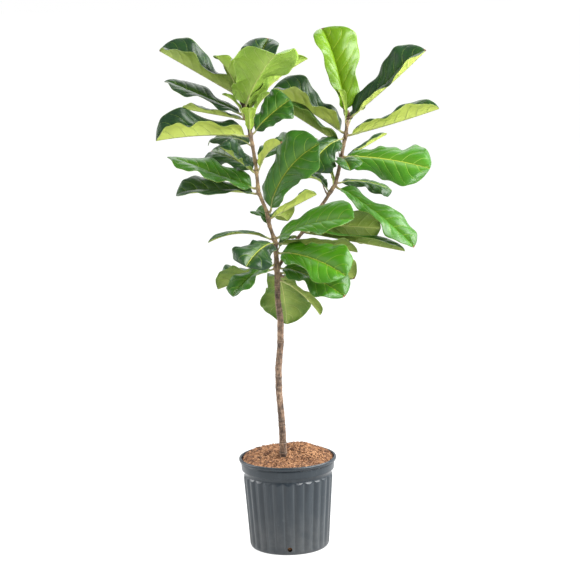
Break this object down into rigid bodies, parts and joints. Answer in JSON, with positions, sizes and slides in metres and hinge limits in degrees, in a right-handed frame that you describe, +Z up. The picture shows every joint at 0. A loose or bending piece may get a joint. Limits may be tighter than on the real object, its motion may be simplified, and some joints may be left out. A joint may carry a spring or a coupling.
{
  "type": "potted fiddle leaf fig",
  "caption": "Young fiddle leaf fig tree with a forked woody stem and large violin-shaped leaves, growing in a round fluted nursery pot of potting mix.",
  "frame": {"origin": "centre of the underside of the pot", "axes": "+Z up along the pot and stem; -Y towards the viewer; the side branch goes to +X"},
  "size_m": [0.7325, 0.3439, 1.3736],
  "materials": {
    "pot_plastic": "satin",
    "potting_mix": "matte",
    "bark": "matte",
    "mature_leaf": "satin",
    "young_leaf": "satin"
  },
  "bodies": {
    "root": {"pot": "pot_plastic", "potting_mix": "potting_mix", "stem": "bark", "leaf_left_01": "mature_leaf", "leaf_left_02": "mature_leaf", "leaf_left_03": "mature_leaf", "leaf_left_04": "mature_leaf", "leaf_left_05": "mature_leaf", "leaf_left_06": "mature_leaf", "leaf_left_07": "mature_leaf", "leaf_left_08": "mature_leaf", "leaf_left_09": "mature_leaf", "leaf_left_10": "mature_leaf", "leaf_left_11": "mature_leaf", "leaf_left_12": "mature_leaf", "leaf_left_13": "mature_leaf", "leaf_left_14": "mature_leaf", "leaf_left_15": "mature_leaf", "leaf_left_16": "mature_leaf", "leaf_left_17": "mature_leaf", "leaf_left_18": "mature_leaf", "leaf_left_19": "mature_leaf", "leaf_left_20": "mature_leaf", "leaf_left_21": "mature_leaf", "leaf_left_22": "mature_leaf", "leaf_left_23": "mature_leaf", "leaf_left_24": "mature_leaf", "leaf_left_25": "mature_leaf", "leaf_left_26": "young_leaf", "leaf_left_27": "young_leaf", "leaf_left_28": "young_leaf", "leaf_left_29": "mature_leaf", "leaf_left_30": "young_leaf", "leaf_left_31": "mature_leaf", "leaf_left_32": "young_leaf", "leaf_left_33": "young_leaf", "leaf_left_34": "mature_leaf", "leaf_left_35": "young_leaf", "leaf_left_36": "mature_leaf", "leaf_right_01": "mature_leaf", "leaf_right_02": "mature_leaf", "leaf_right_03": "mature_leaf", "leaf_right_04": "mature_leaf", "leaf_right_05": "mature_leaf", "leaf_right_06": "mature_leaf", "leaf_right_07": "mature_leaf", "leaf_right_08": "mature_leaf", "leaf_right_09": "mature_leaf", "leaf_right_10": "mature_leaf", "leaf_right_11": "mature_leaf", "leaf_right_12": "mature_leaf", "leaf_right_13": "mature_leaf", "leaf_right_14": "mature_leaf", "leaf_right_15": "young_leaf", "leaf_right_16": "mature_leaf", "leaf_right_17": "young_leaf"}
  },
  "joints": []
}
